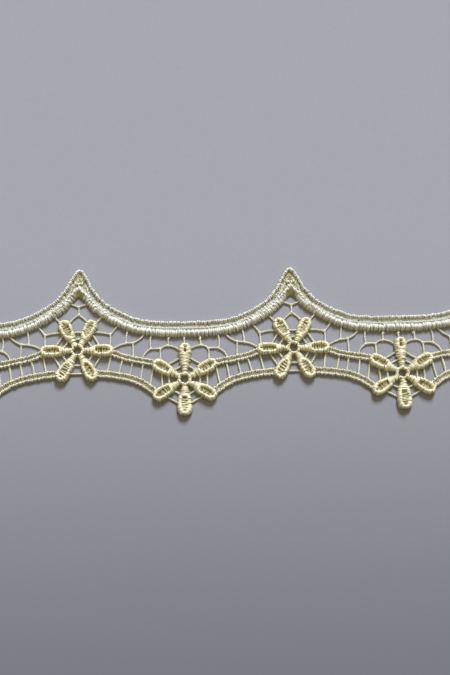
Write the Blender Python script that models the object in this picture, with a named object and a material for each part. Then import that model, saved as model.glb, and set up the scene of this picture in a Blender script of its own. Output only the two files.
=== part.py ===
"""A flat cut length of scalloped flower lace trim, embroidered in one piece.

Two thick satin cords run along the scalloped heading and meet in a peak over every high flower. A
double rail, a ladder of rungs and a second double rail join the flowers below it, and thin wrapped
threads fill the space between.

The pattern is drawn flat and in millimetres, for half a repeat: u runs along the trim from a peak to
the middle of a scallop, and v runs across it towards the peaks, from near the high flowers' centres. Each half repeat is
the mirror image of the one before it. The strips of the pattern are united into one outline with its
openings, the cords and petals are raised in the upper face as ridges, and the underside is flat.
"""

from math import cos, pi, radians, sin

import bpy
import numpy as np
from mathutils import Vector
from mathutils.geometry import delaunay_2d_cdt

MM = 0.001

# Driving sizes, in millimetres
REPEAT = 50.0  # from peak to peak
LENGTH = 150.0  # of the cut piece
CUT_PAST_PEAK = 13.8  # both ends are cut this far past a peak, between two rungs
HIGH_FLOWER_V, LOW_FLOWER_V = -0.27, -7.22  # the flowers' centres
ORIGIN_V = 1.94  # the middle of the whole width

# Heights above the flat underside, in millimetres
HEADING_EDGE = 0.70
RAIL_EDGE, RAIL_TOP, RAIL_DIP = 0.60, 0.88, 0.62
THREAD_TOP = 0.55
RING_EDGE, RING_TOP = 0.95, 1.30
PETAL_EDGE, PETAL_TOP, PETAL_DIP = 0.95, 1.70, 1.00

# Half widths, in millimetres
RAIL_HALF, LOWER_RAIL_HALF, RAIL_RIDGE = 0.78, 0.88, 0.52
THREAD_HALF = 0.22

# The heading's edges, from a peak to the middle of a scallop
HEADING = (
    # outer u, outer v, inner u, inner v
    (0.00, 19.50, 0.00, 12.90),
    (0.75, 19.20, 0.20, 12.85),
    (1.25, 18.50, 0.35, 12.75),
    (2.40, 16.50, 0.60, 12.55),
    (3.33, 14.88, 0.89, 12.21),
    (4.32, 13.59, 1.41, 11.63),
    (5.33, 12.30, 2.47, 10.23),
    (6.37, 11.29, 4.06, 8.75),
    (7.70, 10.47, 5.86, 7.53),
    (9.36, 9.44, 7.75, 6.37),
    (11.27, 8.56, 9.77, 5.30),
    (13.10, 7.76, 11.99, 4.43),
    (15.06, 7.25, 14.42, 3.77),
    (17.33, 6.95, 17.08, 3.38),
    (19.71, 6.78, 19.68, 3.18),
    (22.19, 6.73, 22.19, 3.11),
    (25.00, 6.71, 25.00, 3.08),
)
# Its relief: a slim outer cord, a hollow and a fat inner cord
HEADING_RELIEF = (
    # share of the way in from the outer edge, height
    (0.13, 1.10),
    (0.35, 0.75),
    (0.75, 1.25),
)

# The ladder's two rails, from the high flower to the low one
UPPER_RAIL = (
    # u, v
    (7.9, -0.75),
    (9.2, -1.25),
    (10.6, -1.8),
    (12.5, -2.25),
    (14.5, -2.62),
    (16.5, -2.98),
    (18.3, -3.4),
)
LOWER_RAIL = (
    # u, v
    (4.4, -5.75),
    (7.0, -5.97),
    (9.0, -6.25),
    (11.1, -6.58),
    (13.0, -7.1),
    (14.8, -7.82),
    (16.4, -8.75),
    (18.3, -10.15),
)
UPPER_RIDGE_SPAN = (9.0, 17.0)  # from u to u, clear of the petals
LOWER_RIDGE_SPAN = (5.7, 16.8)

# Where the thin threads start, meet and end
JOINS = {
    # name: (u, v)
    "peak cord": (2.7, 11.5),
    "peak fork": (0.0, 10.45),
    "peak stem": (0.0, 8.5),
    "steep petal, inner": (2.15, 6.5),
    "steep petal, outer": (4.15, 6.45),
    "steep petal, side": (3.75, 4.2),
    "cord 1": (5.9, 8.5),
    "star": (7.6, 3.65),
    "cord 2": (9.6, 6.3),
    "level petal, top": (7.5, 0.7),
    "level petal, tip": (8.2, 0.2),
    "arch": (11.2, 1.5),
    "cord 3": (11.8, 5.5),
    "elbow": (12.9, 1.6),
    "rail 1": (13.0, -2.0),
    "cord 4": (16.0, 4.5),
    "rail 2": (15.1, -2.5),
    "dip": (17.1, 0.15),
    "cord 5": (17.4, 4.2),
    "knot": (19.4, 0.15),
    "sloping petal": (19.4, -3.2),
    "crest": (21.2, 0.95),
    "cord 6": (21.4, 4.1),
    "upright petal": (24.2, -0.4),
}
THREADS = (
    # from, to, bow
    ("peak cord", "peak fork", 0.0),
    ("peak stem", "steep petal, inner", 0.15),
    ("steep petal, outer", "cord 1", 0.0),
    ("steep petal, side", "star", 0.15),
    ("star", "cord 2", 0.0),
    ("star", "level petal, top", 0.0),
    ("level petal, tip", "arch", 0.15),
    ("arch", "cord 3", 0.1),
    ("arch", "elbow", 0.0),
    ("elbow", "cord 4", -0.45),
    ("elbow", "rail 1", 0.0),
    ("rail 2", "dip", 0.4),
    ("dip", "knot", 0.1),
    ("dip", "cord 5", 0.25),
    ("knot", "crest", 0.2),
    ("knot", "sloping petal", 0.0),
    ("crest", "cord 6", 0.0),
    ("crest", "upright petal", 0.3),
)
RUNGS = (
    # top u, top v, bottom u, bottom v
    (7.9, -0.8, 6.9, -5.9),
    (10.7, -1.9, 9.6, -6.3),
    (13.0, -2.4, 12.1, -6.8),
    (15.5, -2.9, 14.7, -7.7),
    (17.9, -3.6, 16.9, -8.9),
)
# Threads on the lines of symmetry, from v to v
PEAK_STEM = (10.45, 8.5)
VALLEY_STEM = (3.9, 0.7)

# Each petal, with the two thread bars that join it to the next one, measured out to their middles
HIGH_PETALS = (
    # angle in degrees, length, share of the usual width, inner bar, outer bar
    (0.0, 8.4, 1.0, 3.2, 4.9),
    (62.5, 8.05, 1.05, 2.8, 4.4),
    (117.5, 8.05, 1.06, 3.2, 4.9),
    (180.0, 8.4, 1.0, 3.5, 5.3),
    (242.5, 8.3, 1.1, 3.5, 5.4),
    (297.5, 8.3, 1.1, 3.5, 5.3),
)
LOW_PETALS = (
    # angle in degrees, length, share of the usual width, inner bar, outer bar
    (29.5, 8.3, 1.08, 3.2, 5.0),
    (90.0, 8.35, 1.0, 3.2, 5.0),
    (150.5, 8.3, 1.08, 3.5, 5.2),
    (211.5, 8.3, 1.06, 3.5, 5.5),
    (270.0, 8.35, 1.15, 3.5, 5.5),
    (328.5, 8.3, 1.06, 3.5, 5.2),
)
# A petal's rim and the ridge round its sunk middle, measured out from the flower's centre. They are
# stretched to the petal's length and width.
PETAL_RIM = (
    # reach, half width
    (1.3, 0.50),
    (2.4, 0.66),
    (3.4, 0.96),
    (4.6, 1.22),
    (6.0, 1.36),
    (7.2, 1.36),
    (7.9, 1.12),
    (8.25, 0.78),
    (8.42, 0.36),
)
PETAL_RIDGE = (
    # reach, half width
    (2.6, 0.0),
    (3.9, 0.48),
    (5.6, 0.84),
    (7.2, 0.82),
    (7.85, 0.0),
)
PETAL_MIDDLE = (4.2, 6.9)  # the sunk line, from reach to reach
RING_RADIUS, RING_HALF, RING_SIDES = 1.12, 0.38, 12

# How the real piece lies: each flower is a little off its place
LIE = (
    # x from the middle of the length, shift along, shift across
    (-75.0, 0.0, 0.0),
    (-63.8, -0.1, -0.1),
    (-38.8, 0.15, 0.15),
    (-13.8, -0.25, -0.2),
    (11.2, 0.15, -0.15),
    (36.2, 0.0, 0.25),
    (61.2, 0.1, 0.1),
    (75.0, 0.0, 0.0),
)

PATH_STEP = 2.0  # between the sections of a long strip
SHORT_EDGE = 0.15  # an outline corner this near to the next one is left out
STRAIGHT = 0.02  # and so is one this near to a straight line
MERGE = 0.004  # points this near are one
BOW_SHARES = (0.0, 0.3, 0.7, 1.0)  # how far along a bowed thread its points lie

THREAD_COLOUR = (0.79, 0.76, 0.58, 1.0)
THREAD_ROUGHNESS = 0.45
SHARP = radians(50)  # edges that turn more than this are not shaded smooth

PEAKS = [-LENGTH / 2 - CUT_PAST_PEAK + REPEAT * n for n in range(round(LENGTH / REPEAT) + 1)]
ENDS = (-LENGTH / 2, LENGTH / 2)


def curve(rows, step):
    """Rows about a step apart on the smooth curve through a table's rows of one or more u, v pairs."""
    given = np.array(rows, float)
    padded = np.vstack([2 * given[0] - given[1], given, 2 * given[-1] - given[-2]])
    found = []
    for p0, p1, p2, p3 in zip(padded, padded[1:], padded[2:], padded[3:]):
        spans = max(1, round(np.linalg.norm(p2[:2] - p1[:2]) / step))
        for t in np.arange(spans) / spans:
            square = (2 * p0 - 5 * p1 + 4 * p2 - p3) * t**2
            cubic = (3 * p1 - p0 - 3 * p2 + p3) * t**3
            found.append((2 * p1 + (p2 - p0) * t + square + cubic) / 2)
    return np.array(found + [given[-1]])


def bowed(start, end, bow):
    """The points of a thread from start to end, which bulges to its left by bow."""
    start, end = np.array(start), np.array(end)
    if not bow:
        return [start, end]
    run = end - start
    left = np.array([-run[1], run[0]]) / np.linalg.norm(run)
    return [start + run * t + left * bow * sin(pi * t) for t in BOW_SHARES]


def lefts(points):
    """The direction to the left at each point of a line, lengthened at its bends as in a mitre."""
    steps = np.diff(points, axis=0)
    steps /= np.linalg.norm(steps, axis=1)[:, None]
    normals = np.stack([-steps[:, 1], steps[:, 0]], axis=1)
    mitres = np.vstack([normals[:1], normals[:-1] + normals[1:], normals[-1:]])
    mitres /= np.linalg.norm(mitres, axis=1)[:, None]
    shares = (mitres * np.vstack([normals, normals[-1:]])).sum(axis=1)
    return mitres / shares[:, None]


def cut_line(points):
    """The points of a line between the two cut ends, with one where it meets an end."""
    marked = [points[0]]
    for a, b in zip(points, points[1:]):
        for end in ENDS:
            if (a[0] - end) * (b[0] - end) < 0:
                marked.append(a + (b - a) * (end - a[0]) / (b[0] - a[0]))
        marked.append(b)
    return [point for point in marked if abs(point[0]) < LENGTH / 2 + MERGE]


def carry_on(half_rows):
    """Rows of u, v pairs for half a repeat, carried on over all the repeats."""
    mirror = np.tile((-1.0, 1.0), half_rows.shape[1] // 2)
    along = np.tile((1.0, 0.0), half_rows.shape[1] // 2)
    repeat = np.vstack([half_rows[-2:0:-1] * mirror, half_rows])
    return np.vstack([repeat + along * peak for peak in PEAKS])


def eased(x, column):
    """A column of the table of lie at x, eased from row to row."""
    places = [row[0] for row in LIE]
    n = int(np.clip(np.searchsorted(places, x) - 1, 0, len(LIE) - 2))
    share = np.clip((x - places[n]) / (places[n + 1] - places[n]), 0.0, 1.0)
    ease = share * share * (3 - 2 * share)
    return LIE[n][column] * (1 - ease) + LIE[n + 1][column] * ease


class Pattern:
    """The strips of the lace as quads, each with the height of its edge, and the ridges on them."""

    def __init__(self):
        self.points = []
        self.quads = []
        self.edge_heights = []
        self.ridges = []

    def band(self, left, right, edge_height, closed=False):
        """A strip of quads between its left and right borders."""
        first, count = len(self.points), len(left)
        for pair in zip(left, right):
            self.points += pair
        for n in range(count if closed else count - 1):
            a, b = first + 2 * n, first + 2 * ((n + 1) % count)
            self.quads.append([a, a + 1, b + 1, b])
            self.edge_heights.append(edge_height)

    def strip(self, points, half_width, edge_height):
        """A strip of one width along a line."""
        points = np.array(points, float)
        aside = lefts(points) * half_width
        self.band(points + aside, points - aside, edge_height)

    def ridge(self, points, height):
        """A line in the upper face at its own height, as far as the cut ends let it run."""
        kept = cut_line(points)
        if kept:
            self.ridges.append((kept, height))


def add_heading(pattern):
    """The two thick cords along the scallops and the hollow between them."""
    rows = carry_on(curve(HEADING, PATH_STEP))
    outer, inner = rows[:, :2], rows[:, 2:]
    pattern.band(outer, inner, HEADING_EDGE)
    for share, height in HEADING_RELIEF:
        pattern.ridge(outer + (inner - outer) * share, height)


def add_rail(pattern, place, rail, half_width, ridge_span):
    """One rail of the ladder, with two small ridges. place turns u, v into a point of the trim."""
    line = curve(rail, PATH_STEP)
    pattern.strip([place(u, v) for u, v in line], half_width, RAIL_EDGE)
    middle = np.array([place(u, v) for u, v in line if ridge_span[0] < u < ridge_span[1]])
    aside = lefts(middle) * RAIL_RIDGE
    pattern.ridge(middle + aside, RAIL_TOP)
    pattern.ridge(middle, RAIL_DIP)
    pattern.ridge(middle - aside, RAIL_TOP)


def add_half_repeat(pattern, place):
    """The ladder and the thin threads from a high flower to the next low one."""
    add_rail(pattern, place, UPPER_RAIL, RAIL_HALF, UPPER_RIDGE_SPAN)
    add_rail(pattern, place, LOWER_RAIL, LOWER_RAIL_HALF, LOWER_RIDGE_SPAN)
    for start, end, bow in THREADS:
        line = bowed(JOINS[start], JOINS[end], bow)
        pattern.strip([place(u, v) for u, v in line], THREAD_HALF, THREAD_TOP)
    for top_u, top_v, low_u, low_v in RUNGS:
        pattern.strip([place(top_u, top_v), place(low_u, low_v)], THREAD_HALF, THREAD_TOP)


def add_flower(pattern, centre, petals):
    """The ring, the petals with their raised rims and the bars between them."""

    def out(angle, reach, aside=0.0):
        along = np.array((cos(radians(angle)), sin(radians(angle))))
        return np.array(centre) + along * reach + np.array((-along[1], along[0])) * aside

    turns = [-360 * n / RING_SIDES for n in range(RING_SIDES)]
    outer = [out(turn, RING_RADIUS + RING_HALF) for turn in turns]
    inner = [out(turn, RING_RADIUS - RING_HALF) for turn in turns]
    crest = [out(turn, RING_RADIUS) for turn in turns]
    pattern.band(outer, inner, RING_EDGE, closed=True)
    pattern.ridge(crest + crest[:1], RING_TOP)
    next_angles = [row[0] for row in petals[1:]] + [petals[0][0] + 360]
    for (angle, length, width, *bars), next_angle in zip(petals, next_angles):
        stretch = length / PETAL_RIM[-1][0]
        left = [out(angle, reach * stretch, half * width) for reach, half in PETAL_RIM]
        right = [out(angle, reach * stretch, -half * width) for reach, half in PETAL_RIM]
        pattern.band(left, right, PETAL_EDGE)
        up = [out(angle, reach * stretch, half * width) for reach, half in PETAL_RIDGE]
        down = [out(angle, reach * stretch, -half * width) for reach, half in PETAL_RIDGE[::-1]]
        pattern.ridge(up + down[1:], PETAL_TOP)
        pattern.ridge([out(angle, reach * stretch) for reach in PETAL_MIDDLE], PETAL_DIP)
        for bar in bars:
            reach = bar / cos(radians(next_angle - angle) / 2)
            pattern.strip([out(angle, reach), out(next_angle, reach)], THREAD_HALF, THREAD_TOP)


def draw_pattern():
    """Every strip and ridge of the trim, not yet cut to length."""
    pattern = Pattern()
    add_heading(pattern)
    for peak in PEAKS:
        for way in (-1, 1):
            add_half_repeat(pattern, lambda u, v: np.array((peak + way * u, v)))
        valley = peak + REPEAT / 2
        pattern.strip([(peak, v) for v in PEAK_STEM], THREAD_HALF, THREAD_TOP)
        pattern.strip([(valley, v) for v in VALLEY_STEM], THREAD_HALF, THREAD_TOP)
        add_flower(pattern, (peak, HIGH_FLOWER_V), HIGH_PETALS)
        add_flower(pattern, (valley, LOW_FLOWER_V), LOW_PETALS)
    return pattern


def outline_edges(faces):
    """The edges that only one of the faces has, in that face's direction."""
    edges = {(a, b) for face in faces for a, b in zip(face, face[1:] + face[:1])}
    return sorted((a, b) for a, b in edges if (b, a) not in edges)


def loops_of(edges):
    """The closed loops that directed edges make."""
    following = dict(edges)
    if len(following) != len(edges):
        raise ValueError("two openings of the lace touch at a point")
    loops = []
    while following:
        start, at = following.popitem()
        loop = [start]
        while at != start:
            loop.append(at)
            at = following.pop(at)
        loops.append(loop)
    return loops


def simpler(loop, points):
    """A loop without its crowded and its nearly straight corners."""
    loop = list(loop)
    n = 0
    while n < len(loop):
        before, here, after = (points[loop[(n + k) % len(loop)]] for k in (-1, 0, 1))
        chord, step = after - before, here - before
        off = abs(chord.cross(step)) / chord.length
        crowded = min(step.length, (after - here).length) < SHORT_EDGE
        if off < (SHORT_EDGE if crowded else STRAIGHT):
            del loop[n]
        else:
            n += 1
    return loop


def unite(pattern):
    """The points, their heights and the outline's loops of all the strips together, cut to length."""
    cut_points = [(end, v) for end in ENDS for v in (-REPEAT, REPEAT)]
    first = len(pattern.points)
    cut_edges = [(first, first + 1), (first + 2, first + 3)]
    points, _, triangles, _, _, strips = delaunay_2d_cdt(
        [tuple(point) for point in pattern.points] + cut_points, cut_edges, pattern.quads, 0, MERGE
    )
    heights = [0.0] * len(points)
    kept = []
    for triangle, covers in zip(triangles, strips):
        middle = sum(points[n].x for n in triangle) / 3
        if covers and abs(middle) < LENGTH / 2:
            kept.append(triangle)
            edge_height = max(pattern.edge_heights[n] for n in covers)
            for n in triangle:
                heights[n] = max(heights[n], edge_height)
    return points, heights, [simpler(loop, points) for loop in loops_of(outline_edges(kept))]


def anticlockwise(loop, points):
    """The loop, turned so that it runs anticlockwise."""
    area = sum(points[a].cross(points[b]) for a, b in zip(loop, loop[1:] + loop[:1]))
    return loop if area > 0 else loop[::-1]


def fill(points, loops, edges):
    """Triangles of point numbers, inside the outer loop, outside the others and along the edges."""
    used = sorted({n for line in loops + edges for n in line})
    order = {n: k for k, n in enumerate(used)}
    regions = [[order[n] for n in anticlockwise(loop, points)] for loop in loops]
    lines = [[order[n] for n in edge] for edge in edges]
    _, _, triangles, sources, _, inside = delaunay_2d_cdt(
        [points[n] for n in used], lines, regions, 0, MERGE
    )
    return [
        [used[max(sources[n])] for n in triangle]
        for triangle, within in zip(triangles, inside)
        if len(within) == 1
    ]


def laid(point, height):
    """A point of the pattern as it lies in the part's own frame, in metres."""
    x, v = point
    return (x + eased(x, 1)) * MM, (v + eased(x, 2) - ORIGIN_V) * MM, height * MM


def lace_mesh(name):
    """The closed mesh: the ridged upper face, the flat underside and the walls between them."""
    pattern = draw_pattern()
    points, heights, loops = unite(pattern)
    edges = []
    for line, height in pattern.ridges:
        edges += [[n, n + 1] for n in range(len(points), len(points) + len(line) - 1)]
        points += [Vector(point) for point in line]
        heights += [height] * len(line)
    upper = fill(points, loops, edges)
    rim = outline_edges(upper)
    lower = fill(points, loops_of(rim), [])

    tops = {n: k for k, n in enumerate(sorted({n for face in upper for n in face}))}
    bases = {a: len(tops) + k for k, (a, _) in enumerate(rim)}
    vertices = [laid(points[n], heights[n]) for n in tops] + [laid(points[n], 0.0) for n in bases]
    faces = [[tops[n] for n in face] for face in upper]
    faces += [[bases[n] for n in face[::-1]] for face in lower]
    faces += [[tops[b], tops[a], bases[a], bases[b]] for a, b in rim]

    mesh = bpy.data.meshes.new(name)
    mesh.from_pydata(vertices, [], faces)
    mesh.shade_smooth()
    mesh.set_sharp_from_angle(angle=SHARP)
    return mesh


def thread_material():
    """Glossy cream embroidery thread."""
    material = bpy.data.materials.new("cream_thread")
    material.use_nodes = True
    shader = material.node_tree.nodes["Principled BSDF"]
    shader.inputs["Base Color"].default_value = THREAD_COLOUR
    shader.inputs["Roughness"].default_value = THREAD_ROUGHNESS
    shader.inputs["Metallic"].default_value = 0.0
    return material


def main():
    for thing in list(bpy.data.objects):
        bpy.data.objects.remove(thing)
    mesh = lace_mesh("lace_trim")
    mesh.materials.append(thread_material())
    bpy.context.scene.collection.objects.link(bpy.data.objects.new("lace_trim", mesh))


main()
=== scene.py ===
"""The lace trim dressed stitch by stitch: satin cords, padded petals, net and ladder.

The pattern's tables, in millimetres, are nearly the part's own: a few petals and the tips of the
peaks differ a little. u runs along the trim from a peak to the middle of a scallop, and v across it
towards the peaks.
"""

from math import cos, pi, radians, sin

import bpy
import numpy as np
from mathutils import Matrix, Vector
from mathutils.geometry import delaunay_2d_cdt


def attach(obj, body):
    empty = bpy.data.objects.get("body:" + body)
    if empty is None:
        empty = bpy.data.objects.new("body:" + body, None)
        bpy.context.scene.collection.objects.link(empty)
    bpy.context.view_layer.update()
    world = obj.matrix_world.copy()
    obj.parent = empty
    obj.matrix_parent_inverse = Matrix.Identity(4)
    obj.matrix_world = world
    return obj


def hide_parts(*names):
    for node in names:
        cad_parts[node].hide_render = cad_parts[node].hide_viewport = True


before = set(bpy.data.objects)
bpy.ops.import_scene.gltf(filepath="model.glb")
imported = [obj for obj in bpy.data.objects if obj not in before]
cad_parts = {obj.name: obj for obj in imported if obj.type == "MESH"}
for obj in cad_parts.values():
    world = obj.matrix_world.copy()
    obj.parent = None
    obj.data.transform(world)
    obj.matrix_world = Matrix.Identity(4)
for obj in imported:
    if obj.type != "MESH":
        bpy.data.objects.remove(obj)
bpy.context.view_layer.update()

MM = 0.001
REPEAT, LENGTH, CUT_PAST_PEAK = 50.0, 150.0, 13.8
HIGH_FLOWER_V, LOW_FLOWER_V, ORIGIN_V = -0.27, -7.22, 1.94
PEAKS = [-LENGTH / 2 - CUT_PAST_PEAK + REPEAT * n for n in range(4)]
END = LENGTH / 2
rng = np.random.default_rng(11)

# The heading's edges, from a peak to the middle of a scallop: outer u, outer v, inner u, inner v
HEADING = (
    (0.00, 19.75, 0.00, 12.90),
    (0.85, 19.35, 0.20, 12.85),
    (1.45, 18.45, 0.35, 12.75),
    (2.50, 16.50, 0.60, 12.55),
    (3.33, 14.88, 0.89, 12.21),
    (4.32, 13.59, 1.41, 11.63),
    (5.33, 12.30, 2.47, 10.23),
    (6.37, 11.29, 4.06, 8.75),
    (7.70, 10.47, 5.86, 7.53),
    (9.36, 9.44, 7.75, 6.37),
    (11.27, 8.56, 9.77, 5.30),
    (13.10, 7.76, 11.99, 4.43),
    (15.06, 7.25, 14.42, 3.77),
    (17.33, 6.95, 17.08, 3.38),
    (19.71, 6.78, 19.68, 3.18),
    (22.19, 6.73, 22.19, 3.11),
    (25.00, 6.71, 25.00, 3.08),
)
# Where the two sides of the inner cord meet under a peak: edge u, edge v, crest u, crest v
APEX = (
    (0.00, 12.90, 0.00, 15.00),
    (0.20, 12.85, 0.40, 14.60),
    (0.38, 12.73, 0.80, 14.18),
    (0.56, 12.59, 1.20, 13.76),
    (0.74, 12.40, 1.55, 13.38),
    (0.89, 12.21, 1.87, 13.05),
)
CREST = ((2.43, 12.44), (3.43, 11.11), (4.87, 9.77), (6.56, 8.62))
UPPER_RAIL = (
    (7.9, -0.75),
    (9.2, -1.25),
    (10.6, -1.8),
    (12.5, -2.25),
    (14.5, -2.62),
    (16.5, -2.98),
    (18.3, -3.4),
)
LOWER_RAIL = (
    (4.4, -5.75),
    (7.0, -5.97),
    (9.0, -6.25),
    (11.1, -6.58),
    (13.0, -7.1),
    (14.8, -7.82),
    (16.4, -8.75),
    (18.3, -10.15),
)
JOINS = {
    "peak cord": (2.7, 11.5),
    "peak fork": (0.0, 10.45),
    "peak stem": (0.0, 8.5),
    "steep petal, inner": (2.15, 6.5),
    "steep petal, outer": (4.15, 6.45),
    "steep petal, side": (3.75, 4.2),
    "cord 1": (5.9, 8.5),
    "star": (7.6, 3.65),
    "cord 2": (9.6, 6.3),
    "level petal, top": (7.5, 0.7),
    "level petal, tip": (8.2, 0.2),
    "arch": (11.2, 1.5),
    "cord 3": (11.8, 5.5),
    "elbow": (12.9, 1.6),
    "rail 1": (13.0, -2.0),
    "cord 4": (16.0, 4.5),
    "rail 2": (15.1, -2.5),
    "dip": (17.1, 0.15),
    "cord 5": (17.4, 4.2),
    "knot": (19.4, 0.15),
    "sloping petal": (19.4, -3.2),
    "crest": (21.2, 0.95),
    "cord 6": (21.4, 4.1),
    "upright petal": (24.2, -0.4),
}
THREADS = (  # from, to, bow
    ("peak cord", "peak fork", 0.0),
    ("peak stem", "steep petal, inner", 0.15),
    ("steep petal, outer", "cord 1", 0.0),
    ("steep petal, side", "star", 0.15),
    ("star", "cord 2", 0.0),
    ("star", "level petal, top", 0.0),
    ("level petal, tip", "arch", 0.15),
    ("arch", "cord 3", 0.1),
    ("arch", "elbow", 0.0),
    ("elbow", "cord 4", -0.45),
    ("elbow", "rail 1", 0.0),
    ("rail 2", "dip", 0.4),
    ("dip", "knot", 0.1),
    ("dip", "cord 5", 0.25),
    ("knot", "crest", 0.2),
    ("knot", "sloping petal", 0.0),
    ("crest", "cord 6", 0.0),
    ("crest", "upright petal", 0.3),
)
RUNGS = (  # top u, top v, bottom u, bottom v
    (7.9, -0.8, 6.9, -5.9),
    (10.7, -1.9, 9.6, -6.3),
    (13.0, -2.4, 12.1, -6.8),
    (15.5, -2.9, 14.7, -7.7),
    (17.9, -3.6, 16.9, -8.9),
)
WOUND_JOINS = ("star", "arch", "elbow", "dip", "knot", "crest")
# The upright threads on the lines of symmetry: top v, bottom v
PEAK_STEM, VALLEY_STEM = (10.45, 8.5), (3.9, 0.7)
# The joins wound about halfway up the three upright threads in a scallop's middle
HALFWAY_V = 2.6
HIGH_PETALS = (  # angle, length, share of the usual width, bars, half width and height of its sunk middle
    (0.0, 8.4, 1.0, (3.2, 4.9), 0.62, 0.85),
    (62.5, 8.05, 1.05, (2.8, 4.4), 0.55, 1.15),
    (117.5, 8.05, 1.06, (3.2, 4.9), 0.74, 1.00),
    (180.0, 8.4, 1.0, (3.5, 5.3), 0.56, 0.80),
    (240.0, 8.15, 1.1, (3.5, 5.4), 0.66, 1.05),
    (300.5, 8.15, 1.1, (3.5, 5.3), 0.66, 0.95),
)
LOW_PETALS = (
    (29.5, 8.3, 1.08, (3.2, 5.0), 0.60, 1.00),
    (88.5, 8.55, 1.05, (3.2, 5.0), 0.26, 1.25),
    (150.5, 8.3, 1.08, (3.5, 5.2), 0.58, 0.85),
    (211.5, 8.3, 1.06, (3.5, 5.5), 0.68, 0.95),
    (270.0, 8.35, 1.22, (3.5, 5.5), 0.66, 1.10),
    (328.5, 8.3, 1.06, (3.5, 5.2), 0.64, 0.95),
)
PETAL_RIM = (  # reach, half width
    (1.3, 0.50),
    (2.4, 0.66),
    (3.4, 0.96),
    (4.6, 1.22),
    (6.0, 1.36),
    (7.2, 1.36),
    (7.9, 1.12),
    (8.25, 0.78),
    (8.42, 0.36),
)
LIE = np.array((  # x, shift along, shift across
    (-75.0, 0.0, 0.0),
    (-63.8, -0.1, -0.1),
    (-38.8, 0.15, 0.15),
    (-13.8, -0.25, -0.2),
    (11.2, 0.15, -0.15),
    (36.2, 0.0, 0.25),
    (61.2, 0.1, 0.1),
    (75.0, 0.0, 0.0),
))

# Sections of the padded stitching: share of the way across, height, share of the stitch's tone.
# The last paints shade, lower on the edges and flanks, and a little highlight on the crest
CORD_OUTER = np.array((
    (0.0, 0.08, 0.7), (0.05, 0.55, 0.9), (0.20, 0.94, 1.05), (0.42, 1.08, 1.05),
    (0.64, 0.94, 0.8), (0.84, 0.58, 0.5), (1.0, 0.24, 0.3),
))
# The inner cord's and the apex's flank at share 0, away from the peaks, faces away from the light:
# painted darkest
CORD_INNER = np.array((
    (0.0, 0.08, 0.0), (0.03, 0.42, 0.05), (0.15, 0.80, 0.25), (0.36, 1.12, 0.75),
    (0.58, 1.27, 1.05), (0.80, 1.08, 1.0), (0.95, 0.72, 0.8), (1.0, 0.42, 0.6),
))
CORD_APEX = np.array((
    (0.0, 0.08, 0.0), (0.04, 0.42, 0.0), (0.20, 0.60, 0.05), (0.42, 0.88, 0.15),
    (0.60, 1.20, 0.5), (0.72, 1.36, 0.9), (0.88, 0.96, 0.8), (1.0, 0.42, 0.4),
))
PETAL_SIDE = np.array((
    (0.0, 0.06, 0.4), (0.03, 0.62, 0.5), (0.22, 1.22, 0.75), (0.50, 1.58, 1.05),
    (0.74, 1.50, 1.05), (0.95, 1.12, 0.75), (1.0, 0.80, 0.5),
))
PETAL_NECK = np.array((
    (0.0, 0.06, 0.4), (0.03, 0.58, 0.5), (0.22, 1.10, 0.85), (0.50, 1.32, 1.05),
    (0.78, 1.10, 0.85), (0.97, 0.58, 0.5), (1.0, 0.06, 0.4),
))
RAIL_CORD = np.array((
    (0.0, 0.06, 0.5), (0.05, 0.46, 0.7), (0.24, 0.74, 1.0), (0.50, 0.84, 1.05),
    (0.76, 0.70, 0.9), (0.95, 0.40, 0.6), (1.0, 0.12, 0.4),
))
HUB = np.array((
    (0.0, 0.10, 0.4), (0.04, 0.66, 0.6), (0.22, 1.12, 1.0), (0.50, 1.30, 1.1),
    (0.78, 1.14, 0.9), (0.96, 0.70, 0.5), (1.0, 0.15, 0.3),
))
HUB_RADIUS, HUB_WIDTH, HUB_LIFT = 1.6, 0.62, 1.05
RAIL_CORD_WIDTH = 0.43
# The heading's hollow is a tip above the first v, a peak above the second and a valley below it
TIP_V, PEAK_V = 16.0, 11.5
# Tones a seed stitch draws at random, lowered as painted shade in the hollow, most in the tip and peak
SEED_TONES_AND_SHADE = {"tip": (0.0, 0.25, 0.6), "peak": (0.0, 0.2, 0.75), "valley": (0.4, 0.6, 0.9)}

# From one stitch to the next along a line
OUTER_PITCH, INNER_PITCH, HOLLOW_PITCH = 0.47, 0.46, 0.42
RAIL_PITCH, PETAL_PITCH = 0.44, 0.40
# How near to a cut end threads and padding, whole stitches, wound joins and a flower's centre may come
CUT_GAP, STITCH_GAP, JOIN_GAP, FLOWER_GAP = 0.05, 0.12, 0.5, 5.0
SATIN_THICK, LOW_THICK = 0.25, 0.2
# The padding's tone is low: painted shade where it shows between the stitches
PADDING_STEP, PADDING_SHADE_TONE = 0.6, 0.1
# The points of a short stitch from one end to the other
ACROSS = np.linspace(-1, 1, 5)
TUBE_SIDES, BOW_POINTS = 6, 12
# A reach that nothing limits
FAR = 99.0
# The ground layer, and the half width of its strips under the threads
GROUND_STEP, GROUND_TOP, GROUND_BOTTOM, THREAD_HALF = 0.8, 0.30, 0.02, 0.17

# In metres
FLOOR_HALF = 1.5
CAMERA_PLACE = Vector((-0.01005, -0.05376, 0.17880))
CAMERA_UP, CAMERA_FORWARD = Vector((0.0185, 0.9564, 0.2915)), Vector((0.0296, 0.2909, -0.9563))


# Lines of the pattern

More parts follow.
